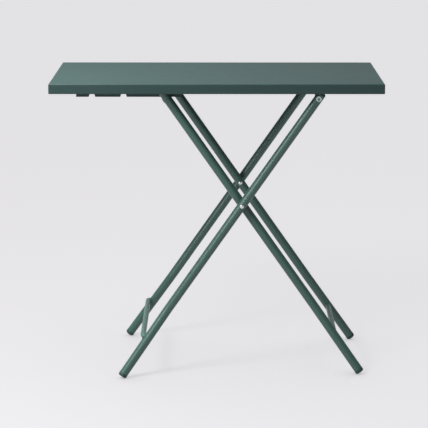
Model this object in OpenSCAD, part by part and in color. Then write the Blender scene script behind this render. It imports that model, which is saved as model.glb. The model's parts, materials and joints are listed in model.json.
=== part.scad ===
// Folding table with a pressed steel top on two crossed tube frames.
// Millimetres. Origin on the floor under the middle of the top, +Z up.
// +X runs along the top, the front is at -Y.

/* [Top] */
// Length of the top, left to right
top_w = 785; // [740:1:860]
// Depth of the top, front to back
top_d = 457; // [440:1:560]
// Height of the top surface above the floor
table_h = 711; // [680:1:760]
// Height of the turned-down edge
apron_h = 23.5; // [18:0.5:27]
// Thickness of the pressed sheet
sheet = 1.2; // [0.8:0.1:1.6]
// Outside radius of the pressed edges and corners
edge_r = 2.5; // [2:0.1:5]
// Width of the lip turned in under the edge
lip_w = 7; // [3:0.5:12]

/* [Legs] */
// Outside diameter of the leg tube
tube_d = 21; // [18:0.5:22]
// Wall of the leg tube
tube_wall = 1.2; // [0.8:0.1:2]
// Lean of each leg from the vertical, in degrees
leg_tilt = 35; // [33:0.5:37]
// Distance from the front or rear edge of the top to the centre of an outer leg
leg_inset = 46.5; // [40:0.5:70]
// Clear gap between an outer leg and the inner leg beside it
leg_gap = 9; // [7:0.5:10]
// Distance from the crossing pivot to the hinge under the top
cross_len = 314; // [300:1:316]
// Height above the floor where the legs bend outwards
bend_z = 165; // [140:1:168]
// Radius of that bend, on the tube's centre line
bend_r = 120; // [80:1:160]
// Loss of the tube's diameter along that bend
bend_draw = 0.1; // [0.05:0.01:0.2]
// Outward bend of the outer legs, in degrees
outer_splay = 9; // [4:0.5:9]
// Outward bend of the inner legs, in degrees
inner_splay = 6; // [2:0.5:6]
// Length of the outer tubes past the hinge
outer_over = 10; // [9:0.5:12]
// Length of the inner tubes past the end of the scissor arm
inner_over = 13; // [10:0.5:16]

/* [Caps] */
// Length of a foot cap below its tube
foot_len = 8; // [4:0.5:12]
// Rounding of a foot cap's rim
foot_round = 3.5; // [1:0.5:4]
// Length of a top plug above its tube
plug_len = 6; // [5:0.5:7]
// Rounding of a top plug's rim
plug_round = 5; // [2:0.5:5]
// Length of a foot cap's spigot inside its tube
foot_spigot = 12; // [8:1:20]
// Length of a top plug's spigot inside its tube, short of the hinge
plug_spigot = 5; // [3:0.5:5]
// Wall of the spigot
spigot_wall = 2; // [1.5:0.1:3]

/* [Hinge] */
// Distance from the right edge of the top to the hinge line
hinge_inset = 152.5; // [140:0.5:165]
// Depth of the hinge line below the top surface
hinge_drop = 39; // [38:0.5:44]
// Thickness of the hinge bracket
bracket_t = 2; // [1.5:0.1:2.2]
// Width of the bracket's tab, which the leg hides
bracket_w = 17; // [15:0.5:20]
// Length of the bracket's foot along the channel
bracket_foot_w = 36; // [26:1:38]
// Width of the bracket's foot across the table
bracket_foot_d = 20; // [12:1:24]
// Diameter of the sleeve that the leg turns on
sleeve_d = 8; // [7:0.5:9]
// Diameter of the sleeve's thin head
sleeve_head_d = 13; // [11:0.5:14]
// Thickness of the sleeve's thin head
sleeve_head_t = 2; // [1.5:0.1:2.2]
// Diameter of the bolt inside the sleeve
bolt_d = 5.8; // [4:0.1:6]
// Length of the bolt inside the sleeve
bolt_len = 15; // [10:0.5:18]
// Diameter of the bolt head
bolt_head_d = 13.5; // [12.5:0.5:16]
// Thickness of the bolt head
bolt_head_t = 2.2; // [1.8:0.1:3]
// Width across the corners of the bolt's key socket
socket_w = 6; // [4:0.1:7]
// Depth of the bolt's key socket
socket_depth = 1.6; // [1:0.1:1.7]
// Diameter of the saddle washer between leg and bolt head
washer_d = 12.5; // [12:0.5:15]
// Thickness of the saddle washer over the crest of the tube
washer_t = 1; // [0.6:0.1:1.5]
// Reach of the saddle washer down the sides of the tube
washer_skirt = 2.2; // [1:0.1:2.5]

/* [Crossing pivot] */
// Diameter of the rivet
rivet_d = 6; // [5:0.5:8]
// Diameter of the rivet's heads
rivet_head_d = 10; // [9:0.5:12]
// Height of the rivet's domed heads
rivet_head_h = 2.6; // [1.5:0.1:3]
// Straight rim under each dome
rivet_rim = 0.4; // [0.2:0.1:0.5]
// Diameter of the spacer between the legs
spacer_d = 14; // [12:0.5:16]

/* [Racks and stay bar] */
// Thickness of the rack plate
rack_t = 2; // [1.5:0.1:3]
// Clear gap between rack and inner leg
rack_gap = 5; // [4:0.5:8]
// Width of the rack's welded flange
rack_flange_w = 16; // [10:1:24]
// Distance from the highest setting's notch to the middle notch
notch_step_a = 98; // [90:1:110]
// Distance from the middle notch to the lowest setting's notch
notch_step_b = 75; // [60:1:90]
// Length of the rack past its outer notch
rack_end_left = 38; // [20:1:45]
// Length of the rack past its inner notch
rack_end_right = 40; // [20:1:45]
// Slant of the rack's left end, from foot to flange
rack_rake = 3; // [1:0.5:10]
// Width of a notch at its mouth
notch_mouth = 15.7; // [13:0.1:20]
// Height of a notch's tapered part
notch_taper = 7; // [4:0.5:10]
// Diameter of the stay bar
stay_d = 10; // [8:0.5:12]
// Set-back of the stay bar from the end of the scissor arm
stay_back = 4.7; // [4:0.1:6]
// Offset of the stay bar to the lower side of the leg
stay_off = 7; // [5:0.1:7.5]

/* [Braces] */
// Diameter of the lower braces
brace_d = 13; // [8:0.5:14]
// Height of the lower braces on the legs
brace_z = 92.5; // [70:0.5:110]
// Bow of the outer brace to the upper side of its frame
brace_bow = 13; // [12:0.5:16]
// Angle of the bends at the ends of the outer brace
bow_angle = 70; // [50:1:74]
// Radius of those bends, on the bar's centre line
bow_r = 17; // [12:0.5:18]

/* [Channels] */
// Width of a channel's crown
crown_w = 40; // [38:1:50]
// Depth of a channel
channel_h = 14; // [8:0.5:15]
// Width of a channel's welded flanges
channel_flange_w = 10; // [6:1:14]
// Thickness of a channel
channel_t = 1.5; // [1:0.1:2]
// Gap from the end of a channel to the edge of the top
channel_end = 9; // [6:0.5:20]

/* [Fits] */
// Radial clearance of a pin in its bore
pin_clear = 0.05; // [0.02:0.01:0.08]
// Gap between pieces that turn past each other
run_gap = 0.3; // [0.2:0.05:0.4]
// Gap left for the weld or seat between joined round pieces
seat_gap = 0.05; // [0.02:0.01:0.1]
// Radial clearance of a cap's spigot in its tube
cap_clear = 0.1; // [0.05:0.01:0.2]
// Gap between stay bar and rack teeth
stay_gap = 0.4; // [0.3:0.05:0.8]

/* [Hidden] */
$fn = 64;
cut = 1;
bend_lap = 0.6;

green = "#4d645e";
top_green = "#5f746d";
steel = "#b4b8ba";
nylon = "#2e3533";

// Main planes and lines
tube_r = tube_d / 2;
bore_d = tube_d - 2 * tube_wall;
outer_y = top_d / 2 - leg_inset;
inner_y = outer_y - tube_d - leg_gap;
plate_z = table_h - sheet;
apron_z = table_h - apron_h;
hinge_x = top_w / 2 - hinge_inset;
hinge_z = table_h - hinge_drop;
cross_x = hinge_x - cross_len * sin(leg_tilt);
cross_z = hinge_z - cross_len * cos(leg_tilt);
bend_s = (cross_z - bend_z) / cos(leg_tilt);
outer_top_s = cross_len + outer_over;
inner_top_s = cross_len + inner_over;

// Lower legs, cut square to the tube with the rim of the cap on the floor
function lean(splay) = acos(cos(splay) * cos(leg_tilt));
function rim_z(splay) = (tube_r - foot_round) * sin(lean(splay)) + foot_round;
function low_len(splay) = (bend_z - rim_z(splay)) / cos(lean(splay)) + foot_round;

// Place of a brace on the splayed part of a leg
brace_s = (cross_z - brace_z) / cos(leg_tilt);
function brace_y(y, splay) = y + (brace_s - bend_s) * tan(splay);

// Hinge stack, outwards from the bracket
bracket_out_y = outer_y - tube_r - run_gap;
bracket_in_y = bracket_out_y - bracket_t;
washer_out_y = outer_y + tube_r + washer_t;
bolt_seat_y = washer_out_y + run_gap;
sleeve_end_y = bolt_seat_y - seat_gap;
bracket_top_z = plate_z - channel_h;

// Crossing pivot stack
rivet_tail_y = inner_y - tube_r - run_gap;
rivet_crest_y = outer_y + tube_r;
spacer_in_y = inner_y + tube_r + run_gap;

// Stay bar: its offset from the arm's end swings through the bottom of its arc
// while the bar runs below the rack, so its highest point is at one end of the run.
// Angles are from straight down, towards +X.
stay_len = norm([stay_back, stay_off]);
stay_rest = leg_tilt - atan2(stay_off, stay_back);
stay_x = hinge_x - 2 * cross_len * sin(leg_tilt) + stay_len * sin(stay_rest);
notch_xs = [stay_x, stay_x - notch_step_a, stay_x - notch_step_a - notch_step_b];
rack_left = notch_xs[2] - rack_end_left;
rack_right = notch_xs[0] + rack_end_right;
stay_run = 90 - leg_tilt - acos((hinge_x - rack_left) / (2 * cross_len));
stay_high = hinge_z - stay_len * cos(max(abs(stay_rest), abs(stay_rest + stay_run)));
rack_tip_z = stay_high + stay_d / 2 + stay_gap;
rack_y = inner_y - tube_r - rack_gap - rack_t;
notch_w = stay_d + 2 * run_gap;

// Placing

// The front pieces mirror the rear ones
module at_front() {
    mirror([0, 1, 0]) children();
}

// Local frame of a leg pair: origin at the crossing pivot, +Z up along the legs
module in_leg_plane(tilt) {
    translate([cross_x, 0, cross_z]) rotate([0, tilt, 0]) children();
}

// Local frame of a lower leg: origin where the centre lines meet, -Z to the foot
module in_lower_leg(y, splay) {
    translate([0, y, -bend_s]) rotate([splay, 0, 0]) children();
}

// Local +Z points to the rear, out of the table
module facing_rear(x, y, z) {
    translate([x, y, z]) rotate([-90, 0, 0]) children();
}

// Shared shapes

// Rectangle with round corners, centred
module rounded_plan(w, d, r) {
    square([w - 2 * r, d], center = true);
    square([w, d - 2 * r], center = true);
    for (sx = [-1, 1], sy = [-1, 1]) translate([sx * (w / 2 - r), sy * (d / 2 - r)]) circle(r = r);
}

// Box on z = 0 with every edge rounded, where three rounded bars cross
module rounded_box(w, d, h, r) {
    intersection() {
        linear_extrude(h) rounded_plan(w, d, r);
        translate([0, d / 2, h / 2]) rotate([90, 0, 0]) linear_extrude(d) rounded_plan(w, h, r);
        translate([-w / 2, 0, h / 2]) rotate([90, 0, 90]) linear_extrude(w) rounded_plan(d, h, r);
    }
}

// Bend of a round bar about Z, from +X towards +Y. It is a little thinner than
// the straights that it joins, and laps into both.
module bar_bend(d, r, angle) {
    lap = bend_lap / r * 180 / PI;
    rotate([0, 0, -lap]) rotate_extrude(angle = angle + 2 * lap) translate([r, 0]) circle(d = d - bend_draw);
}

// Round bar along a leg: straight, bent outwards, straight to the foot
module leg_run(d, y, splay, top_s, foot_s) {
    tangent = bend_r * tan(splay / 2);
    translate([0, y, tangent - bend_s]) {
        cylinder(d = d, h = top_s + bend_s - tangent);
        translate([0, bend_r, 0]) {
            rotate([-90, 0, 0]) rotate([0, 90, 0]) bar_bend(d, bend_r, splay);
            rotate([splay, 0, 0]) translate([0, -bend_r, tangent - foot_s])
                cylinder(d = d, h = foot_s - tangent);
        }
    }
}

// Hole across a leg at a height along it
module cross_bore(y, s, d) {
    translate([0, y, s]) rotate([90, 0, 0]) cylinder(d = d, h = 2 * tube_d, center = true);
}

module leg_tube(y, splay, top_s) {
    foot_s = low_len(splay) - foot_len - seat_gap;
    difference() {
        leg_run(tube_d, y, splay, top_s, foot_s);
        leg_run(bore_d, y, splay, top_s + cut, foot_s + cut);
        children();
    }
}

// Straight upper part of a leg, used to cope what is seated on it
module upper_leg_envelope(y) {
    translate([0, y, -bend_s]) cylinder(r = tube_r + seat_gap, h = bend_s + 2 * cross_len);
}

// Straight lower part of a leg, used to cope what is welded to it
module lower_leg_envelope(y, splay) {
    in_lower_leg(y, splay) translate([0, 0, -low_len(splay)])
        cylinder(r = tube_r + seat_gap, h = low_len(splay));
}

// Plastic cap in a tube's end: outer face at z = 0, tube from z = len
module tube_cap(len, rim, spigot_len) {
    spigot_r = bore_d / 2 - cap_clear;
    color(nylon) difference() {
        rotate_extrude() union() {
            square([tube_r - rim, len]);
            translate([0, rim]) square([tube_r, len - rim]);
            intersection() {
                translate([tube_r - rim, rim]) circle(r = rim);
                square([tube_r, len]);
            }
            translate([0, len]) square([spigot_r, spigot_len]);
        }
        translate([0, 0, len]) cylinder(r = spigot_r - spigot_wall, h = spigot_len + cut);
    }
}

module foot_cap(y, splay) {
    in_lower_leg(y, splay) translate([0, 0, -low_len(splay)]) tube_cap(foot_len, foot_round, foot_spigot);
}

module top_plug(y, top_s) {
    translate([0, y, top_s + plug_len]) mirror([0, 0, 1]) tube_cap(plug_len, plug_round, plug_spigot);
}

// Domed head on z = 0
module dome(d, h) {
    r = (d * d / 4 + h * h) / (2 * h);
    intersection() {
        translate([0, 0, h - r]) sphere(r = r);
        cylinder(d = d + cut, h = h + cut);
    }
}

// Hat section welded under the plate, its crown facing down
module hat_channel(x) {
    length = top_d - 2 * channel_end;
    crown = crown_w / 2;
    wall = crown - channel_t;
    brim = crown + channel_flange_w;
    brim_z = channel_h - channel_t;
    color(green) translate([x, length / 2, plate_z - channel_h]) rotate([90, 0, 0])
        linear_extrude(length) polygon([
            [-brim, channel_h],
            [-brim, brim_z],
            [-crown, brim_z],
            [-crown, 0],
            [crown, 0],
            [crown, brim_z],
            [brim, brim_z],
            [brim, channel_h],
            [wall, channel_h],
            [wall, channel_t],
            [-wall, channel_t],
            [-wall, channel_h]
        ]);
}

// Tapered notch with a round end, standing on y = 0
module notch() {
    polygon([
        [-notch_mouth / 2, -cut],
        [notch_mouth / 2, -cut],
        [notch_mouth / 2, 0],
        [notch_w / 2, notch_taper],
        [-notch_w / 2, notch_taper],
        [-notch_mouth / 2, 0]
    ]);
    translate([0, notch_taper]) circle(d = notch_w);
}

// Top and what is welded or bolted to it

module tabletop() {
    color(top_green) translate([0, 0, apron_z]) difference() {
        rounded_box(top_w, top_d, apron_h, edge_r);
        translate([0, 0, sheet])
            rounded_box(top_w - 2 * sheet, top_d - 2 * sheet, apron_h - 2 * sheet, edge_r - sheet);
        translate([0, 0, sheet / 2])
            cube([top_w - 2 * (sheet + lip_w), top_d - 2 * (sheet + lip_w), 2 * sheet], center = true);
    }
}

module hinge_channel() {
    hat_channel(hinge_x);
}

module mid_channel() {
    hat_channel(cross_x);
}

// Notched rack that the stay bar is set in for the table's three heights
module rack() {
    web_h = plate_z - rack_tip_z;
    color(green) {
        translate([0, rack_y + rack_t, rack_tip_z]) rotate([90, 0, 0]) linear_extrude(rack_t)
            difference() {
                polygon([
                    [rack_left, 0],
                    [rack_right, 0],
                    [rack_right, web_h],
                    [rack_left + rack_rake, web_h]
                ]);
                for (x = notch_xs) translate([x, 0]) notch();
            }
        translate([rack_left + rack_rake, rack_y + rack_t - rack_flange_w, plate_z - rack_t])
            cube([rack_right - rack_left - rack_rake, rack_flange_w, rack_t]);
    }
}

module rack_rear() {
    rack();
}

module rack_front() {
    at_front() rack();
}

// Tab with a round end that hangs from the hinge channel
module hinge_bracket() {
    drop = bracket_top_z - hinge_z;
    color(green) {
        facing_rear(hinge_x, bracket_in_y, hinge_z) linear_extrude(bracket_t) difference() {
            union() {
                circle(d = bracket_w);
                translate([-bracket_w / 2, -drop]) square([bracket_w, drop]);
            }
            circle(d = sleeve_d + 2 * pin_clear);
        }
        translate([hinge_x - bracket_foot_w / 2, bracket_out_y - bracket_foot_d, bracket_top_z - bracket_t])
            cube([bracket_foot_w, bracket_foot_d, bracket_t]);
    }
}

module hinge_bracket_rear() {
    hinge_bracket();
}

module hinge_bracket_front() {
    at_front() hinge_bracket();
}

// Sleeve with a thin head inside the bracket: the leg turns on its barrel
module hinge_sleeve() {
    barrel = sleeve_end_y - bracket_in_y;
    color(steel) facing_rear(hinge_x, bracket_in_y, hinge_z) difference() {
        union() {
            translate([0, 0, -sleeve_head_t]) cylinder(d = sleeve_head_d, h = sleeve_head_t);
            cylinder(d = sleeve_d, h = barrel);
        }
        translate([0, 0, barrel - bolt_len - cut])
            cylinder(d = bolt_d + 2 * pin_clear, h = bolt_len + 2 * cut);
    }
}

module hinge_sleeve_rear() {
    hinge_sleeve();
}

module hinge_sleeve_front() {
    at_front() hinge_sleeve();
}

// Flat-headed bolt that closes the sleeve from outside
module hinge_bolt() {
    color(steel) facing_rear(hinge_x, bolt_seat_y, hinge_z) difference() {
        union() {
            cylinder(d = bolt_head_d, h = bolt_head_t);
            translate([0, 0, -bolt_len]) cylinder(d = bolt_d, h = bolt_len + cut);
        }
        translate([0, 0, bolt_head_t - socket_depth]) cylinder(d = socket_w, h = socket_depth + cut, $fn = 6);
    }
}

module hinge_bolt_rear() {
    hinge_bolt();
}

module hinge_bolt_front() {
    at_front() hinge_bolt();
}

// Outer frame

// Washer with a hollow underside that sits on the tube
module hinge_washer() {
    height = washer_t + washer_skirt;
    color(nylon) difference() {
        facing_rear(hinge_x, washer_out_y - height, hinge_z) cylinder(d = washer_d, h = height);
        facing_rear(hinge_x, washer_out_y - height, hinge_z)
            cylinder(d = sleeve_d + 2 * run_gap, h = 3 * height, center = true);
        in_leg_plane(leg_tilt) upper_leg_envelope(outer_y);
    }
}

module hinge_washer_rear() {
    hinge_washer();
}

module hinge_washer_front() {
    at_front() hinge_washer();
}

module outer_leg() {
    color(green) in_leg_plane(leg_tilt) leg_tube(outer_y, outer_splay, outer_top_s) {
        cross_bore(outer_y, cross_len, sleeve_d + 2 * pin_clear);
        cross_bore(outer_y, 0, rivet_d + 2 * pin_clear);
    }
}

module outer_leg_rear() {
    outer_leg();
}

module outer_leg_front() {
    at_front() outer_leg();
}

// Bar bowed to the upper side of the frame, bent in to the legs at both ends
module outer_brace() {
    end_y = brace_y(outer_y, outer_splay);
    run_in = (brace_bow - bow_r * (1 - cos(bow_angle))) / sin(bow_angle);
    bend_y = end_y - bow_r * sin(bow_angle) - run_in * cos(bow_angle);
    color(green) in_leg_plane(leg_tilt) difference() {
        translate([0, 0, -brace_s]) {
            translate([-brace_bow, 0, 0]) rotate([90, 0, 0]) cylinder(d = brace_d, h = 2 * bend_y, center = true);
            for (side = [0, 1]) mirror([0, side, 0]) translate([bow_r - brace_bow, bend_y, 0]) mirror([1, 0, 0]) {
                bar_bend(brace_d, bow_r, bow_angle);
                rotate([0, 0, bow_angle]) translate([bow_r, 0, 0]) rotate([-90, 0, 0])
                    cylinder(d = brace_d, h = run_in);
            }
        }
        lower_leg_envelope(outer_y, outer_splay);
        at_front() lower_leg_envelope(outer_y, outer_splay);
    }
}

module outer_foot_rear() {
    in_leg_plane(leg_tilt) foot_cap(outer_y, outer_splay);
}

module outer_foot_front() {
    at_front() outer_foot_rear();
}

module outer_plug_rear() {
    in_leg_plane(leg_tilt) top_plug(outer_y, outer_top_s);
}

module outer_plug_front() {
    at_front() outer_plug_rear();
}

// Rivet fixed in the outer leg, with the inner leg free to turn on it
module pivot_rivet() {
    shank = rivet_crest_y - rivet_tail_y + rivet_rim;
    head_base = rivet_crest_y - tube_r + sqrt(tube_r * tube_r - rivet_head_d * rivet_head_d / 4);
    head_rim = rivet_crest_y - head_base + rivet_rim;
    color(steel) difference() {
        union() {
            facing_rear(cross_x, rivet_tail_y, cross_z) cylinder(d = rivet_d, h = shank);
            facing_rear(cross_x, head_base, cross_z) cylinder(d = rivet_head_d, h = head_rim);
            facing_rear(cross_x, rivet_crest_y + rivet_rim, cross_z) dome(rivet_head_d, rivet_head_h);
            facing_rear(cross_x, rivet_tail_y, cross_z) mirror([0, 0, 1]) {
                cylinder(d = rivet_head_d, h = rivet_rim);
                translate([0, 0, rivet_rim]) dome(rivet_head_d, rivet_head_h);
            }
        }
        difference() {
            in_leg_plane(leg_tilt) upper_leg_envelope(outer_y);
            facing_rear(cross_x, 0, cross_z) cylinder(d = rivet_d, h = rivet_crest_y + tube_d);
        }
    }
}

module pivot_rivet_rear() {
    pivot_rivet();
}

module pivot_rivet_front() {
    at_front() pivot_rivet();
}

// Spacer on the rivet between the two legs, hollowed to the outer tube
module pivot_spacer() {
    length = outer_y - spacer_in_y;
    color(nylon) difference() {
        facing_rear(cross_x, spacer_in_y, cross_z) cylinder(d = spacer_d, h = length);
        facing_rear(cross_x, spacer_in_y - cut, cross_z)
            cylinder(d = rivet_d + 2 * pin_clear, h = length + 2 * cut);
        in_leg_plane(leg_tilt) upper_leg_envelope(outer_y);
    }
}

module pivot_spacer_rear() {
    pivot_spacer();
}

module pivot_spacer_front() {
    at_front() pivot_spacer();
}

// Inner frame

module inner_leg() {
    color(green) in_leg_plane(-leg_tilt) leg_tube(inner_y, inner_splay, inner_top_s)
        cross_bore(inner_y, 0, rivet_d + 2 * pin_clear);
}

module inner_leg_rear() {
    inner_leg();
}

module inner_leg_front() {
    at_front() inner_leg();
}

module inner_brace() {
    end_y = brace_y(inner_y, inner_splay);
    color(green) in_leg_plane(-leg_tilt) difference() {
        translate([0, 0, -brace_s]) rotate([90, 0, 0])
            cylinder(d = brace_d, h = 2 * end_y, center = true);
        lower_leg_envelope(inner_y, inner_splay);
        at_front() lower_leg_envelope(inner_y, inner_splay);
    }
}

// Bar across the upper ends of the inner legs that drops into the racks
module stay_bar() {
    color(green) in_leg_plane(-leg_tilt) difference() {
        translate([-stay_off, 0, cross_len - stay_back]) rotate([90, 0, 0])
            cylinder(d = stay_d, h = 2 * (inner_y - tube_wall), center = true);
        upper_leg_envelope(inner_y);
        at_front() upper_leg_envelope(inner_y);
    }
}

module inner_foot_rear() {
    in_leg_plane(-leg_tilt) foot_cap(inner_y, inner_splay);
}

module inner_foot_front() {
    at_front() inner_foot_rear();
}

module inner_plug_rear() {
    in_leg_plane(-leg_tilt) top_plug(inner_y, inner_top_s);
}

module inner_plug_front() {
    at_front() inner_plug_rear();
}

tabletop();
hinge_channel();
mid_channel();
rack_front();
rack_rear();
hinge_bracket_front();
hinge_bracket_rear();
hinge_sleeve_front();
hinge_sleeve_rear();
hinge_bolt_front();
hinge_bolt_rear();
hinge_washer_front();
hinge_washer_rear();
outer_leg_front();
outer_leg_rear();
outer_brace();
outer_foot_front();
outer_foot_rear();
outer_plug_front();
outer_plug_rear();
pivot_rivet_front();
pivot_rivet_rear();
pivot_spacer_front();
pivot_spacer_rear();
inner_leg_front();
inner_leg_rear();
inner_brace();
stay_bar();
inner_foot_front();
inner_foot_rear();
inner_plug_front();
inner_plug_rear();
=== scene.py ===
import json
import math

import bmesh
import bpy
from mathutils import Matrix, Vector


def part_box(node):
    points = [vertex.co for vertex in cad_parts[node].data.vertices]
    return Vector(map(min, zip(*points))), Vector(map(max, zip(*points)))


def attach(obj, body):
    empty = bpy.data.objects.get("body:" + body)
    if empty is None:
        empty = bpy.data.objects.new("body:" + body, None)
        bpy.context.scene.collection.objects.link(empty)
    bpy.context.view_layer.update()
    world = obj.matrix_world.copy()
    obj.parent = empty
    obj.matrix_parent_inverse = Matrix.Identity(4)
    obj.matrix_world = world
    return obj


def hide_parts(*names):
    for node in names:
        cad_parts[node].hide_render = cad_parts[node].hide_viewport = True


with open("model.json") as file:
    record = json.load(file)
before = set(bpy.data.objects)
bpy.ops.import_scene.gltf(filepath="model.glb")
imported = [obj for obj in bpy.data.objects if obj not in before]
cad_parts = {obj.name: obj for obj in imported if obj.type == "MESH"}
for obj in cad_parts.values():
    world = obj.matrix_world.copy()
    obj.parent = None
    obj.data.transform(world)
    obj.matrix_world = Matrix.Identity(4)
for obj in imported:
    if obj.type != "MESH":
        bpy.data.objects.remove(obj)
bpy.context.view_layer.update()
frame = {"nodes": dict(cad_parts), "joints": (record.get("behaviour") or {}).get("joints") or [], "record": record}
nodes = frame["nodes"]
scene = bpy.context.scene
hinge, crossing = (Vector(joint["pos_m"]) for joint in frame["joints"])

# Photograph's viewing angle
PHOTO_SIDE_PX = 428
FOCAL_PX = 2039.55
SENSOR_MM = 36.0
CAMERA_REACH = 100.0
CAMERA_AT = (0.00371, -4.94906, 1.29159)
CAMERA_PITCH = math.radians(10.6515)
CAMERA_YAW = math.radians(0.1192)

# Sizes of the solids that the pieces below sit on, in metres
TUBE_R = 0.0105
OUTER_Y = 0.182
INNER_Y = 0.152
BEND_Z = 0.165
OUTER_SPLAY = math.radians(9)
INNER_SPLAY = math.radians(6)
OUTER_OVER = 0.010
INNER_OVER = 0.013
FOOT_ROUND = 0.0035
BRACE_R = 0.0065
BRACE_Z = 0.0925
BRACE_BOW = 0.013
BOW_ANGLE = math.radians(70)
BOW_R = 0.017
STAY_R = 0.005
STAY_BACK = 0.0047
STAY_OFF = 0.007
SOCKET_R = 0.003

# Lines of the legs, measured from the crossing
LEG_LINE = hinge - crossing
CROSS_LEN = LEG_LINE.length
LEG_TILT = math.atan2(LEG_LINE.x, LEG_LINE.z)
BEND_S = (crossing.z - BEND_Z) / math.cos(LEG_TILT)
BRACE_S = (crossing.z - BRACE_Z) / math.cos(LEG_TILT)


def add_camera():
    data = bpy.data.cameras.new("camera")
    data.sensor_width = SENSOR_MM
    data.lens = SENSOR_MM * FOCAL_PX / PHOTO_SIDE_PX
    data.clip_end = CAMERA_REACH
    camera = bpy.data.objects.new("camera", data)
    camera.location = CAMERA_AT
    camera.rotation_euler = (math.pi / 2 - CAMERA_PITCH, 0.0, CAMERA_YAW)
    scene.collection.objects.link(camera)
    scene.camera = camera


# Materials: scales in features per metre, depths in metres

NOISE_LOW = 0.3
NOISE_HIGH = 0.7
DRIFT_SCALE = 5.0
GRAIN_SCALE = 1300.0
GRAIN_TONE = 0.07
PEEL_SCALE = 420.0
PEEL_STRENGTH = 0.14
PEEL_DEPTH = 0.00005
SHEEN_SCALE = 38.0
SHEEN_SPREAD = 0.015
CLOUD_SCALE = 420.0
CLOUD_TONE = (0.9, 1.04)
SCRATCH_SCALE = 2600.0
SCRATCH_STRENGTH = 0.2
SCRATCH_DEPTH = 0.00004
DULL_SCALE = 160.0
ZINC_ROUGH = (0.26, 0.4)
# Painted shade in the bolt's socket: how dark it gets, and how far out it fades
SOCKET_SHADE_TONE = 0.4
SOCKET_SHADE_EDGE = 1.2

# Top and frame share one green; the frame copy is set about twice as light, as painted light on the legs and
# painted shade on the apron
SHADED_TOP_DARK = (0.0325, 0.0765, 0.0718)
SHADED_TOP_LIGHT = (0.0345, 0.0805, 0.0757)
LIT_FRAME_DARK = (0.054, 0.149, 0.124)
LIT_FRAME_LIGHT = (0.058, 0.159, 0.132)
# Braces: the frame's green made lighter, as painted light for the light the braces catch
LIT_BRACE_DARK = (0.111, 0.228, 0.198)
LIT_BRACE_LIGHT = (0.119, 0.241, 0.210)
CAP_DARK = (0.048, 0.110, 0.100)
CAP_LIGHT = (0.052, 0.118, 0.107)
NYLON_DARK = (0.012, 0.016, 0.015)
NYLON_LIGHT = (0.018, 0.022, 0.021)
ZINC = (0.72, 0.76, 0.75)
BOLT_ZINC = (0.47, 0.60, 0.57)

# Sockets of a Mix node by number: factor, first, second and result
MIX_SOCKETS = {"RGBA": (0, 6, 7, 2), "FLOAT": (0, 2, 3, 0)}


class Graph:
    """Shorthand for filling a node tree."""

    def __init__(self, tree):
        self.tree = tree
        tree.nodes.clear()

    def add(self, kind, settings=None, **inputs):
        made = self.tree.nodes.new(kind)
        for name, value in (settings or {}).items():
            setattr(made, name, value)
        for name, value in inputs.items():
            self.put(made, name.replace("_", " "), value)
        return made

    def put(self, made, name, value):
        socket = made.inputs[name]
        if isinstance(value, bpy.types.NodeSocket):
            self.tree.links.new(value, socket)
        else:
            socket.default_value = value


def new_material(name):
    material = bpy.data.materials.new(name)
    material.use_nodes = True
    return material, Graph(material.node_tree)


def rgba(color):
    return (*color, 1.0)


def noise(graph, coords, scale, detail=2.0):
    made = graph.add("ShaderNodeTexNoise", Vector=coords, Scale=scale, Detail=detail)
    return made.outputs["Fac"]


def ramp(graph, value, start, end, low, high):
    """Low up to the start of a range, high from its end on, and even in between."""
    made = graph.add("ShaderNodeMapRange", Value=value, From_Min=start, From_Max=end)
    graph.put(made, "To Min", low)
    graph.put(made, "To Max", high)
    return made.outputs["Result"]


def remap(graph, value, low, high):
    """Stretches a noise to run between two values."""
    return ramp(graph, value, NOISE_LOW, NOISE_HIGH, low, high)


def blend(graph, kind, factor, first, second):
    """Mix of two colours or two numbers."""
    made = graph.add("ShaderNodeMix", {"data_type": kind})
    *inputs, result = MIX_SOCKETS[kind]
    for socket, value in zip(inputs, (factor, first, second)):
        graph.put(made, socket, value)
    return made.outputs[result]


def scaled(graph, color, factor):
    """Colour times a number."""
    made = graph.add("ShaderNodeVectorMath", {"operation": "SCALE"}, Scale=factor)
    graph.put(made, 0, color)
    return made.outputs["Vector"]


def combined(graph, operation, first, second):
    """Two vectors put together, part by part."""
    made = graph.add("ShaderNodeVectorMath", {"operation": operation})
    graph.put(made, 0, first)
    graph.put(made, 1, second)
    return made.outputs["Vector"]


def powder_coat(name, dark, light, rough, specular):
    """Satin powder coat: a slow drift of colour, fine grain, and a faint orange peel."""
    material, graph = new_material(name)
    coords = graph.add("ShaderNodeTexCoord").outputs["Object"]
    drift = remap(graph, noise(graph, coords, DRIFT_SCALE), 0.0, 1.0)
    grain = remap(graph, noise(graph, coords, GRAIN_SCALE), 1.0 - GRAIN_TONE, 1.0 + GRAIN_TONE)
    tint = blend(graph, "RGBA", drift, rgba(dark), rgba(light))
    peel = noise(graph, coords, PEEL_SCALE, detail=1.0)
    bump = graph.add("ShaderNodeBump", Strength=PEEL_STRENGTH, Distance=PEEL_DEPTH, Height=peel)
    sheen = noise(graph, coords, SHEEN_SCALE, detail=4.0)
    shader = graph.add(
        "ShaderNodeBsdfPrincipled",
        Base_Color=scaled(graph, tint, grain),
        Roughness=remap(graph, sheen, rough - SHEEN_SPREAD, rough + SHEEN_SPREAD),
        Specular_IOR_Level=specular,
        Normal=bump.outputs["Normal"],
    )
    graph.add("ShaderNodeOutputMaterial", Surface=shader.outputs["BSDF"])
    return material


def socket_painted_shade(graph, coords, recess_r):
    """Painted shade in the socket: dark within a radius of the hinge axis, and 1 outside it."""
    offset = combined(graph, "SUBTRACT", coords, hinge)
    flat = combined(graph, "MULTIPLY", offset, (1.0, 0.0, 1.0))
    away = graph.add("ShaderNodeVectorMath", {"operation": "LENGTH"})
    graph.put(away, 0, flat)
    return ramp(graph, away.outputs["Value"], recess_r, recess_r * SOCKET_SHADE_EDGE, SOCKET_SHADE_TONE, 1.0)


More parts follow.
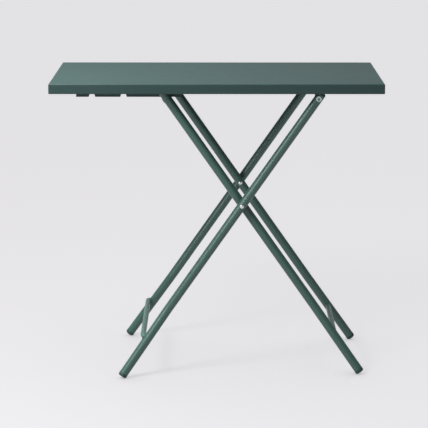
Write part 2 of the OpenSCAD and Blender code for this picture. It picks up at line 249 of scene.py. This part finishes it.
def zinc_plate(name, color, recess_r=0.0):
    """Zinc plate: a mottled grain, a little dulling, and painted shade in a recess on the hinge axis."""
    material, graph = new_material(name)
    coords = graph.add("ShaderNodeTexCoord").outputs["Object"]
    tone = scaled(graph, color, remap(graph, noise(graph, coords, CLOUD_SCALE, detail=4.0), *CLOUD_TONE))
    if recess_r:
        # Painted shade darkens the socket of the bolt head
        tone = scaled(graph, tone, socket_painted_shade(graph, coords, recess_r))
    scratch = noise(graph, coords, SCRATCH_SCALE, detail=3.0)
    bump = graph.add("ShaderNodeBump", Strength=SCRATCH_STRENGTH, Distance=SCRATCH_DEPTH, Height=scratch)
    shader = graph.add(
        "ShaderNodeBsdfPrincipled",
        Base_Color=tone,
        Metallic=1.0,
        Roughness=remap(graph, noise(graph, coords, DULL_SCALE, detail=4.0), *ZINC_ROUGH),
        Normal=bump.outputs["Normal"],
    )
    graph.add("ShaderNodeOutputMaterial", Surface=shader.outputs["BSDF"])
    return material


slot_materials = {
    # The frame paint is the lit copy and the top paint the shaded copy of one green
    "top_paint": powder_coat("top_paint", SHADED_TOP_DARK, SHADED_TOP_LIGHT, rough=0.45, specular=0.4),
    "frame_paint": powder_coat("frame_paint", LIT_FRAME_DARK, LIT_FRAME_LIGHT, rough=0.40, specular=0.8),
    "zinc_steel": zinc_plate("zinc_steel", ZINC),
    "cap_plastic": powder_coat("cap_plastic", CAP_DARK, CAP_LIGHT, rough=0.55, specular=0.4),
    "dark_nylon": powder_coat("dark_nylon", NYLON_DARK, NYLON_LIGHT, rough=0.5, specular=0.4),
}
# Zinc of the bolt heads, with painted shade in their sockets
bolt_zinc = zinc_plate("bolt_zinc", BOLT_ZINC, SOCKET_R)
# Lighter copy of the frame paint for the braces: painted light
lit_brace_paint = powder_coat("lit_brace_paint", LIT_BRACE_DARK, LIT_BRACE_LIGHT, rough=0.42, specular=0.6)


def dress_cad_nodes():
    """Every solid gets the material that the record names, and the braces a lighter copy of the frame paint, as
    painted light for the light they catch.
    """
    for row in frame["record"]["subparts"]:
        piece = nodes[row["node"]]
        piece.data.materials.clear()
        piece.data.materials.append(slot_materials[row["material_slot"]])
    for name in ("outer_brace", "inner_brace"):
        nodes[name].data.materials[0] = lit_brace_paint


# Mesh helpers

SHARP = math.radians(35)
SHEET_EDGE = 0.0003
EDGE_STEPS = 2
BEND_STEPS = 6
ROUND_STEPS = 64


def rounded(points, radii):
    """Outline of 2-D points, each corner turned into an arc of its own radius."""
    outline = []
    for i, radius in enumerate(radii):
        corner = Vector(points[i])
        if radius == 0:
            outline.append(corner)
            continue
        back = (Vector(points[i - 1]) - corner).normalized()
        ahead = (Vector(points[(i + 1) % len(points)]) - corner).normalized()
        half = back.angle(ahead) / 2
        centre = corner + (back + ahead).normalized() * radius / math.sin(half)
        first = corner + back * radius / math.tan(half) - centre
        last = corner + ahead * radius / math.tan(half) - centre
        for k in range(BEND_STEPS + 1):
            outline.append(centre + first.lerp(last, k / BEND_STEPS).normalized() * radius)
    return outline


def sheet_section(points, thickness, bend):
    """Closed outline of a bent sheet, from the corners of its middle line."""
    inner = [bend] * (len(points) - 2)
    line = rounded(points, [0, *inner, 0])
    sides = ([], [])
    for i, point in enumerate(line):
        along = line[min(i + 1, len(line) - 1)] - line[max(i - 1, 0)]
        across = Vector((-along.y, along.x)).normalized() * thickness / 2
        sides[0].append(point + across)
        sides[1].append(point - across)
    return sides[0] + sides[1][::-1]


def prism(bm, outline, place, depth):
    """Outline in the local XY plane, extruded along local Z."""
    rings = [[bm.verts.new(place @ Vector((p.x, p.y, z))) for p in outline] for z in (0.0, depth)]
    for i in range(len(outline)):
        bm.faces.new((rings[0][i - 1], rings[0][i], rings[1][i], rings[1][i - 1]))
    for ring in rings:
        bm.faces.new(ring)


def bridge(bm, rings, closed=False):
    """Quads between rings that have the same number of points."""
    pairs = list(zip(rings, rings[1:]))
    if closed:
        pairs.append((rings[-1], rings[0]))
    for low, high in pairs:
        for i in range(len(low)):
            bm.faces.new((low[i - 1], low[i], high[i], high[i - 1]))


def fan(bm, ring, tip):
    """Triangles from a ring to one point."""
    for i in range(len(ring)):
        bm.faces.new((ring[i - 1], ring[i], tip))


def full_turn(count):
    """Even steps round a circle."""
    return [2 * math.pi * i / count for i in range(count)]


def circle(bm, place, radius, z, count=ROUND_STEPS):
    spots = [Vector((radius * math.cos(a), radius * math.sin(a), z)) for a in full_turn(count)]
    return [bm.verts.new(place @ spot) for spot in spots]


def lathe(bm, profile, place):
    """Turned piece about local Z, from pairs of radius and height, closed at both ends."""
    rings = [circle(bm, place, radius, z) for radius, z in profile]
    bridge(bm, rings)
    bm.faces.new(rings[0])
    bm.faces.new(rings[-1])


def add_piece(name, bm, body, slot, stands_for=None, thickness=0.0, soften=0.0, material=None):
    """Object from a mesh in the shared frame, which rides on a body of the solids."""
    bmesh.ops.recalc_face_normals(bm, faces=bm.faces)
    for face in bm.faces:
        face.smooth = True
    for edge in bm.edges:
        edge.smooth = bool(soften) or edge.calc_face_angle(0.0) < SHARP
    mesh = bpy.data.meshes.new(name)
    bm.to_mesh(mesh)
    bm.free()
    mesh.materials.append(material or slot_materials[slot])
    piece = bpy.data.objects.new(name, mesh)
    scene.collection.objects.link(piece)
    if thickness:
        solid = piece.modifiers.new("thickness", "SOLIDIFY")
        solid.thickness = thickness
        solid.offset = 0.0
        solid.use_even_offset = True
    if soften:
        bevel = piece.modifiers.new("soften", "BEVEL")
        bevel.width = soften
        bevel.segments = EDGE_STEPS
        bevel.limit_method = "ANGLE"
        bevel.angle_limit = SHARP
        bevel.harden_normals = True
    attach(piece, body)
    if stands_for:
        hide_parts(stands_for)


def leg_plane(tilt):
    """Local frame of a leg pair: origin at the crossing, +Z up along the legs."""
    return Matrix.Translation(crossing) @ Matrix.Rotation(tilt, 4, "Y")


def facing(side, x, y, z):
    """Local +Z points out of the table, to the rear for side 1 and to the front for -1."""
    return Matrix.Translation((x, side * y, z)) @ Matrix.Rotation(-side * math.pi / 2, 4, "X")


SIDES = {"front": -1, "rear": 1}


def y_span(low, high):
    """Inner and outer distance of a box from the middle plane of the table."""
    return sorted((abs(low.y), abs(high.y)))


# Channels under the top

CHANNEL_T = 0.0015
CROWN_HALF = 0.020
CHANNEL_BEND = 0.0022
SPOT_PITCH = 0.048
SPOT_SIDES = 24

# Spot weld from its middle outwards, as pairs of radius and height
SPOT_PROFILE = (
    (0.0012, 0.00008),
    (0.0019, 0.0001),
    (0.0024, 0.00032),
    (0.0029, 0.0003),
    (0.0035, -0.0002),
)


def spot_weld(bm, x, y, z):
    """Shallow ring-shaped mark, on a face that looks down."""
    place = Matrix.Translation((x, y, z)) @ Matrix.Rotation(math.pi, 4, "X")
    rings = [circle(bm, place, radius, height, SPOT_SIDES) for radius, height in SPOT_PROFILE]
    bridge(bm, rings)
    bm.faces.new(rings[0])


def spread(low, high, step):
    """Evenly spaced places between two ends, about a step apart."""
    count = round((high - low) / step)
    return [low + (high - low) * (i + 0.5) / count for i in range(count)]


def add_channel(node):
    low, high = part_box(node)
    x = (low.x + high.x) / 2
    brim = (high.x - low.x) / 2
    wall = CROWN_HALF - CHANNEL_T / 2
    top = high.z - CHANNEL_T / 2
    crown = low.z + CHANNEL_T / 2
    line = [(-brim, top), (-wall, top), (-wall, crown), (wall, crown), (wall, top), (brim, top)]
    place = Matrix(((1, 0, 0, x), (0, 0, 1, low.y), (0, 1, 0, 0), (0, 0, 0, 1)))
    bm = bmesh.new()
    prism(bm, sheet_section(line, CHANNEL_T, CHANNEL_BEND), place, high.y - low.y)
    add_piece(f"{node}_pressing", bm, "top", "top_paint", node, soften=SHEET_EDGE)
    bm = bmesh.new()
    for y in spread(low.y, high.y, SPOT_PITCH):
        for side in (-1, 1):
            spot_weld(bm, x + side * (brim + CROWN_HALF) / 2, y, high.z - CHANNEL_T)
    add_piece(f"{node}_spot_welds", bm, "top", "top_paint")


# Racks

PLATE_BEND = 0.003
RACK_T = 0.002
RACK_RAKE = 0.003
NOTCH_HALF = 0.0053
NOTCH_ROUND = NOTCH_HALF * 0.98
NOTCH_MOUTH_HALF = 0.00785
NOTCH_TAPER = 0.007
NOTCH_PLACES = (0.0, 0.098, 0.173)
RACK_END_RIGHT = 0.040
TOOTH_ROUND = 0.0012


def folded_plate(bm, web, strip_ends, y, flange):
    """Flat web outline in XZ whose first and last points carry a bend and a flange outline in XY."""
    web_face = [bm.verts.new((p.x, y, p.y)) for p in web]
    bm.faces.new(web_face)
    row = [web_face[0], web_face[-1]]
    left, right = strip_ends
    for k in range(1, BEND_STEPS + 1):
        turn = math.pi / 2 * k / BEND_STEPS
        back = y - math.copysign(PLATE_BEND * (1 - math.cos(turn)), y)
        up = web[0].y + PLATE_BEND * math.sin(turn)
        new = [bm.verts.new((left, back, up)), bm.verts.new((right, back, up))]
        bm.faces.new((row[0], row[1], new[1], new[0]))
        row = new
    corners = [bm.verts.new((p.x, p.y, row[0].co.z)) for p in flange]
    bm.faces.new((row[0], *corners, row[1]))


def add_rack(name, side):
    node = f"rack_{name}"
    low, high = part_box(node)
    tip = low.z
    web_top = high.z - RACK_T / 2 - PLATE_BEND
    points = [(low.x + RACK_RAKE, web_top), (low.x, tip)]
    radii = [0, TOOTH_ROUND]
    for place in reversed(NOTCH_PLACES):
        x = high.x - RACK_END_RIGHT - place
        root = tip + NOTCH_TAPER + NOTCH_HALF
        shoulder = tip + NOTCH_TAPER
        points += [(x - NOTCH_MOUTH_HALF, tip), (x - NOTCH_HALF, shoulder), (x - NOTCH_HALF, root)]
        points += [(x + NOTCH_HALF, root), (x + NOTCH_HALF, shoulder), (x + NOTCH_MOUTH_HALF, tip)]
        radii += [TOOTH_ROUND, 0, NOTCH_ROUND, NOTCH_ROUND, 0, TOOTH_ROUND]
    points += [(high.x, tip), (high.x, web_top)]
    radii += [TOOTH_ROUND, 0]
    inner, outer = y_span(low, high)
    ends = (low.x + RACK_RAKE, high.x)
    flange = [Vector((ends[0], side * inner)), Vector((ends[1], side * inner))]
    bm = bmesh.new()
    folded_plate(bm, rounded(points, radii), ends, side * (outer - RACK_T / 2), flange)
    add_piece(f"{node}_plate", bm, "top", "top_paint", node, RACK_T, SHEET_EDGE)
    bm = bmesh.new()
    for x in spread(ends[0], ends[1], SPOT_PITCH):
        spot_weld(bm, x, side * (inner + outer - PLATE_BEND) / 2, high.z - RACK_T)
    add_piece(f"{node}_spot_welds", bm, "top", "top_paint")


# Weld beads

BEAD_LOW = 0.88
BEAD_SWELL = 0.2
BEAD_SPOKES = 10
BEAD_STEP = 0.0003
PLATE_BEAD_R = 0.0015
PLATE_RIPPLE = 0.0018


def weld_bead(bm, path, radius, guide, pitch, closed):
    """Rippled bead along a path. Guide gives a direction across the path at each point."""
    rings = []
    length = 0.0
    for i, point in enumerate(path):
        before = path[i - 1] if closed or i else point
        after = path[(i + 1) % len(path)] if closed or i + 1 < len(path) else point
        along = (after - before).normalized()
        across = guide(i) - along * guide(i).dot(along)
        across.normalize()
        other = along.cross(across)
        length += (point - path[i - 1]).length if i else 0.0
        swell = radius * (BEAD_LOW + BEAD_SWELL * abs(math.sin(math.pi * length / pitch)))
        outward = [across * math.cos(a) + other * math.sin(a) for a in full_turn(BEAD_SPOKES)]
        rings.append([bm.verts.new(point + spoke * swell) for spoke in outward])
    bridge(bm, rings, closed)
    if not closed:
        bm.faces.new(rings[0])
        bm.faces.new(rings[-1])


def plate_bead(bm, start, end):
    """Straight bead along the edge of a flat foot."""
    count = round((end - start).length / BEAD_STEP)
    path = [start.lerp(end, i / count) for i in range(count + 1)]
    weld_bead(bm, path, PLATE_BEAD_R, lambda i: Vector((0, 0, 1)), PLATE_RIPPLE, False)


# Hinges

BRACKET_HALF = 0.0085
BRACKET_T = 0.002
FOOT_CORNER = 0.003
BOLT_HEAD_R = 0.00675
BOLT_HEAD_T = 0.0022
BOLT_CHAMFER = 0.0005
BOLT_EDGE = 0.0002
SOCKET_DEPTH = 0.0016
SOCKET_FLARE = 0.0004
FLARE_DEPTH = 0.0003
SOCKET_CONE = 0.0004
EYE_STEPS = 24


def add_hinge_bracket(name, side):
    node = f"hinge_bracket_{name}"
    low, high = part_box(node)
    inner, outer = y_span(low, high)
    web_top = high.z - BRACKET_T / 2 - PLATE_BEND
    y = side * (outer - BRACKET_T / 2)
    turns = [math.pi * i / EYE_STEPS for i in range(EYE_STEPS + 1)]
    web = [Vector((hinge.x - BRACKET_HALF, web_top))]
    web += [hinge.xz - BRACKET_HALF * Vector((math.cos(a), math.sin(a))) for a in turns]
    web += [Vector((hinge.x + BRACKET_HALF, web_top))]
    fold_y = abs(y) - PLATE_BEND
    foot = [(low.x, fold_y), (low.x, inner), (high.x, inner), (high.x, fold_y)]
    foot = [Vector((p.x, side * p.y)) for p in rounded(foot, [0, FOOT_CORNER, FOOT_CORNER, 0])]
    bm = bmesh.new()
    folded_plate(bm, web, (web[0].x, web[-1].x), y, foot)
    add_piece(f"{node}_plate", bm, "top", "top_paint", node, BRACKET_T, SHEET_EDGE)
    bm = bmesh.new()
    for x in (low.x, high.x):
        start = Vector((x, side * fold_y, high.z))
        end = Vector((x, side * (inner + FOOT_CORNER), high.z))
        plate_bead(bm, start, end)
    start = Vector((low.x + FOOT_CORNER, side * inner, high.z))
    end = Vector((high.x - FOOT_CORNER, side * inner, high.z))
    plate_bead(bm, start, end)
    add_piece(f"{node}_weld", bm, "top", "top_paint")


def hexagon(bm, place, radius, z):
    """Ring of points on a hexagon, as many as a circle has."""
    sector = math.pi / 3
    flat = radius * math.cos(sector / 2)
    spots = []
    for a in full_turn(ROUND_STEPS):
        reach = flat / math.cos((a + sector / 2) % sector - sector / 2)
        spots.append(Vector((reach * math.cos(a), reach * math.sin(a), z)))
    return [bm.verts.new(place @ spot) for spot in spots]


def add_hinge_bolt(name, side):
    node = f"hinge_bolt_{name}"
    low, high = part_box(node)
    _, face = y_span(low, high)
    place = facing(side, hinge.x, face - BOLT_HEAD_T, hinge.z)
    rim = [
        (BOLT_HEAD_R - BOLT_EDGE, 0.0),
        (BOLT_HEAD_R, BOLT_EDGE),
        (BOLT_HEAD_R, BOLT_HEAD_T - BOLT_CHAMFER),
        (BOLT_HEAD_R - BOLT_CHAMFER, BOLT_HEAD_T),
        (SOCKET_R + SOCKET_FLARE, BOLT_HEAD_T),
    ]
    bm = bmesh.new()
    rings = [circle(bm, place, radius, z) for radius, z in rim]
    socket_floor = BOLT_HEAD_T - SOCKET_DEPTH
    rings.append(hexagon(bm, place, SOCKET_R, BOLT_HEAD_T - FLARE_DEPTH))
    rings.append(hexagon(bm, place, SOCKET_R, socket_floor))
    bridge(bm, rings)
    fan(bm, rings[-1], bm.verts.new(place @ Vector((0, 0, socket_floor - SOCKET_CONE))))
    bm.faces.new(rings[0])
    add_piece(f"{node}_head", bm, "top", "zinc_steel", node, material=bolt_zinc)


# Welds on the frames

WELD_STEPS = 180
HALVINGS = 30
FRAME_RIPPLE = 0.0019
BRACE_BEAD_R = 0.0017
STAY_BEAD_R = 0.0015


def meeting(centre_line, length, bar_r, leg_at, leg_along, turns):
    """Points where a bar's surface runs into a leg, in order round the bar."""
    points = []
    for turn in turns:

        def surface(s):
            at, along, across = centre_line(s)
            other = along.cross(across)
            return at + (across * math.cos(turn) + other * math.sin(turn)) * bar_r

        def outside(s):
            gap = surface(s) - leg_at
            return (gap - leg_along * gap.dot(leg_along)).length > TUBE_R

        low, high = 0.0, length
        if outside(high):
            continue
        for _ in range(HALVINGS):
            middle = (low + high) / 2
            if outside(middle):
                low = middle
            else:
                high = middle
        points.append(surface(low))
    return points


def straight_bar(x, z):
    """Centre line along +Y in a leg plane."""
    return lambda s: (Vector((x, s, z)), Vector((0, 1, 0)), Vector((1, 0, 0)))


def bowed_bar(end_y):
    """Centre line of the bowed brace's rear end, from the start of its bend."""
    run_in = (BRACE_BOW - BOW_R * (1 - math.cos(BOW_ANGLE))) / math.sin(BOW_ANGLE)
    bend_y = end_y - BOW_R * math.sin(BOW_ANGLE) - run_in * math.cos(BOW_ANGLE)

    def at(s):
        turn = min(s / BOW_R, BOW_ANGLE)
        along = Vector((math.sin(turn), math.cos(turn), 0))
        across = Vector((-math.cos(turn), math.sin(turn), 0))
        centre = Vector((BOW_R - BRACE_BOW, bend_y, -BRACE_S))
        return centre + across * BOW_R + along * (s - turn * BOW_R), along, across

    return at, BOW_R * BOW_ANGLE + run_in


def add_bar_welds(name, body, tilt, bar, leg_at, splay, bead_r):
    """Bead round both ends of a bar between two legs. The front one mirrors the rear one."""
    turns = full_turn(WELD_STEPS)
    leg_along = Vector((0, -math.sin(splay), math.cos(splay)))
    path = meeting(*bar, leg_at, leg_along, turns)
    closed = len(path) == len(turns)
    if not closed:
        gaps = [(path[i] - path[i - 1]).length for i in range(len(path))]
        start = gaps.index(max(gaps))
        path = path[start:] + path[:start]
    middle = sum(path, Vector()) / len(path)
    bm = bmesh.new()
    for side in SIDES.values():
        place = leg_plane(tilt) @ Matrix.Diagonal((1, side, 1, 1))
        placed = [place @ point for point in path]
        hub = place @ middle
        weld_bead(bm, placed, bead_r, lambda i: placed[i] - hub, FRAME_RIPPLE, closed)
    add_piece(f"{name}_welds", bm, body, "frame_paint")


def brace_y(y, splay):
    """Distance of a splayed leg from the middle plane, at the height of the braces."""
    return y + (BRACE_S - BEND_S) * math.tan(splay)


def add_frame_welds():
    end_y = brace_y(OUTER_Y, OUTER_SPLAY)
    line, length = bowed_bar(end_y)
    at = Vector((0, end_y, -BRACE_S))
    bar = (line, length, BRACE_R)
    add_bar_welds("outer_brace", "outer_frame", LEG_TILT, bar, at, OUTER_SPLAY, BRACE_BEAD_R)
    end_y = brace_y(INNER_Y, INNER_SPLAY)
    at = Vector((0, end_y, -BRACE_S))
    bar = (straight_bar(0.0, -BRACE_S), end_y, BRACE_R)
    add_bar_welds("inner_brace", "inner_frame", -LEG_TILT, bar, at, INNER_SPLAY, BRACE_BEAD_R)
    at = Vector((0, INNER_Y, 0))
    bar = (straight_bar(-STAY_OFF, CROSS_LEN - STAY_BACK), INNER_Y, STAY_R)
    add_bar_welds("stay_bar", "inner_frame", -LEG_TILT, bar, at, 0.0, STAY_BEAD_R)


# Caps in the tube ends

SEAM = 0.0005
CAP_LIP = 0.0001
RIM_STEPS = 10
FACE_MARGIN = 0.0006
FOOT_LEN = 0.008
PLUG_LEN = 0.006
PLUG_ROUND = 0.005

# Dimple and groove in a cap's face, as pairs of radius and depth
CAP_FACE = (
    (0.0010, 0.0003),
    (0.0022, 0.0003),
    (0.0026, 0.0),
    (0.0040, 0.0),
    (0.0044, 0.0003),
    (0.0052, 0.0003),
    (0.0056, 0.0),
)


def cap_profile(length, rim):
    """Cap from its outer face at height 0 to a fine seam at the tube."""
    radius = TUBE_R + CAP_LIP
    flat = radius - rim
    turns = [math.pi / 2 * i / RIM_STEPS for i in range(RIM_STEPS + 1)]
    profile = [spot for spot in CAP_FACE if spot[0] < flat - FACE_MARGIN]
    profile += [(flat + rim * math.sin(a), rim - rim * math.cos(a)) for a in turns]
    profile += [(radius, length - SEAM), (radius - SEAM, length - SEAM), (radius - SEAM, length + SEAM)]
    return profile


def low_length(splay):
    """From the corner of the bend to the end of the foot cap, whose rim stands on the floor."""
    lean = math.acos(math.cos(splay) * math.cos(LEG_TILT))
    rim_z = (TUBE_R - FOOT_ROUND) * math.sin(lean) + FOOT_ROUND
    return (BEND_Z - rim_z) / math.cos(lean) + FOOT_ROUND


def add_caps(frame_name, tilt, y, splay, over):
    for name, side in SIDES.items():
        lower = Matrix.Translation((0, side * y, -BEND_S)) @ Matrix.Rotation(side * splay, 4, "X")
        place = leg_plane(tilt) @ lower @ Matrix.Translation((0, 0, -low_length(splay)))
        bm = bmesh.new()
        lathe(bm, cap_profile(FOOT_LEN, FOOT_ROUND), place)
        node = f"{frame_name}_foot_{name}"
        add_piece(f"{node}_cap", bm, f"{frame_name}_frame", "cap_plastic", node)
        end = Matrix.Translation((0, side * y, CROSS_LEN + over + PLUG_LEN))
        place = leg_plane(tilt) @ end @ Matrix.Rotation(math.pi, 4, "X")
        bm = bmesh.new()
        lathe(bm, cap_profile(PLUG_LEN, PLUG_ROUND), place)
        node = f"{frame_name}_plug_{name}"
        add_piece(f"{node}_cap", bm, f"{frame_name}_frame", "cap_plastic", node)


def add_pieces():
    add_channel("hinge_channel")
    add_channel("mid_channel")
    for name, side in SIDES.items():
        add_rack(name, side)
        add_hinge_bracket(name, side)
        add_hinge_bolt(name, side)
    add_frame_welds()
    add_caps("outer", LEG_TILT, OUTER_Y, OUTER_SPLAY, OUTER_OVER)
    add_caps("inner", -LEG_TILT, INNER_Y, INNER_SPLAY, INNER_OVER)


# Stage

FLOOR_SIDE = 120.0
FLOOR_GLOW = 0.535
# Painted contact shadow on the floor: how far it reaches and how much it darkens the glow
CONTACT_SHADOW_REACH = 0.05
CONTACT_SHADOW_DEPTH = 0.3
CONTACT_SHADOW_SAMPLES = 8
FLOOR_LIT = 0.7
FLOOR_BOUNCE = 0.5
BACKDROP_LOW = 0.76
BACKDROP_HIGH = 0.27
BACKDROP_FADE = (0.03, 0.2)
SKY_LIGHT = 0.4
SKY_RISE = (0.3, 0.9)
REAR_LIGHT = 0.5
REAR_RISE = (0.2, 0.9)
STUDIO_TINT = (1.0, 0.99, 1.008)
LIGHT_AIM = Vector((0.0, 0.0, 0.45))
LIGHT_REACH = 1.8


def gray(value):
    return rgba([value * part for part in STUDIO_TINT])


def seen_directly(graph):
    """1 for what the camera sees, also by reflection or through glass, and 0 for light."""
    path = graph.add("ShaderNodeLightPath")
    total = path.outputs["Is Camera Ray"]
    for name in ("Is Glossy Ray", "Is Transmission Ray"):
        added = graph.add("ShaderNodeMath", {"operation": "ADD", "use_clamp": True})
        graph.put(added, 0, total)
        graph.put(added, 1, path.outputs[name])
        total = added.outputs[0]
    return total


def add_floor():
    """Pale floor that glows a little, keeps the table's shadow, and has a painted contact shadow in its glow near
    the feet.
    """
    half = FLOOR_SIDE / 2
    mesh = bpy.data.meshes.new("floor")
    corners = [(-half, -half, 0), (half, -half, 0), (half, half, 0), (-half, half, 0)]
    mesh.from_pydata(corners, [], [(0, 1, 2, 3)])
    floor = bpy.data.objects.new("floor", mesh)
    scene.collection.objects.link(floor)
    material, graph = new_material("floor")
    # Painted contact shadow: the glow is darker where other objects are close, beside and under the feet
    painted_contact_shadow = graph.add("ShaderNodeAmbientOcclusion", {"samples": CONTACT_SHADOW_SAMPLES}, Distance=CONTACT_SHADOW_REACH)
    darkest = FLOOR_GLOW * (1.0 - CONTACT_SHADOW_DEPTH)
    glow_under_painted_shadow = ramp(graph, painted_contact_shadow.outputs["AO"], 0.0, 1.0, darkest, FLOOR_GLOW)
    plain = graph.add("ShaderNodeBsdfDiffuse", Color=gray(FLOOR_BOUNCE))
    lit = graph.add("ShaderNodeBsdfDiffuse", Color=gray(FLOOR_LIT))
    glow = graph.add("ShaderNodeEmission", Color=gray(1.0), Strength=glow_under_painted_shadow)
    pale = graph.add("ShaderNodeAddShader")
    graph.put(pale, 0, lit.outputs[0])
    graph.put(pale, 1, glow.outputs[0])
    surface = graph.add("ShaderNodeMixShader")
    graph.put(surface, 0, seen_directly(graph))
    graph.put(surface, 1, plain.outputs[0])
    graph.put(surface, 2, pale.outputs[0])
    graph.add("ShaderNodeOutputMaterial", Surface=surface.outputs[0])
    mesh.materials.append(material)
    return floor


def add_lamp(name, azimuth, elevation, side, power):
    """Square softbox, placed by degrees: azimuth 0 is in front of the table, negative is to the left."""
    turn = math.radians(azimuth)
    rise = math.radians(elevation)
    flat = math.cos(rise)
    towards = Vector((math.sin(turn) * flat, -math.cos(turn) * flat, math.sin(rise)))
    data = bpy.data.lights.new(name, "AREA")
    data.energy = power
    data.size = side
    lamp = bpy.data.objects.new(name, data)
    lamp.location = LIGHT_AIM + towards * LIGHT_REACH
    lamp.rotation_euler = towards.to_track_quat("Z", "Y").to_euler()
    scene.collection.objects.link(lamp)
    return lamp


def keep_off(lamp, piece):
    """The lamp lights everything but one object."""
    group = bpy.data.collections.new(f"{lamp.name}_group")
    group.objects.link(piece)
    group.collection_objects[0].light_linking.link_state = "EXCLUDE"
    lamp.light_linking.receiver_collection = group


def add_world():
    """Light from above and from behind, and a backdrop that is palest near the floor."""
    world = bpy.data.worlds.new("studio")
    scene.world = world
    world.use_nodes = True
    graph = Graph(world.node_tree)
    coords = graph.add("ShaderNodeTexCoord").outputs["Generated"]
    direction = graph.add("ShaderNodeSeparateXYZ", Vector=coords).outputs
    above = ramp(graph, direction["Z"], *SKY_RISE, 0.0, SKY_LIGHT)
    behind = ramp(graph, direction["Y"], *REAR_RISE, 0.0, REAR_LIGHT)
    cast = graph.add("ShaderNodeMath", {"operation": "ADD"})
    graph.put(cast, 0, above)
    graph.put(cast, 1, behind)
    backdrop = ramp(graph, direction["Z"], *BACKDROP_FADE, BACKDROP_LOW, BACKDROP_HIGH)
    strength = blend(graph, "FLOAT", seen_directly(graph), cast.outputs[0], backdrop)
    light = graph.add("ShaderNodeBackground", Color=gray(1.0), Strength=strength)
    graph.add("ShaderNodeOutputWorld", Surface=light.outputs[0])


def add_lights(floor):
    """The upper front lamp draws the shadows on the floor, and the others light the table alone."""
    key = add_lamp("key", azimuth=-80, elevation=60, side=0.8, power=36.0)
    front_low = add_lamp("front_low", azimuth=-42, elevation=19, side=0.8, power=9.3)
    add_lamp("front_high", azimuth=-40, elevation=38, side=0.5, power=6.5)
    for lamp in (key, front_low):
        keep_off(lamp, floor)
    add_world()


add_camera()
dress_cad_nodes()
add_pieces()
add_lights(add_floor())
scene.view_settings.view_transform = "Standard"
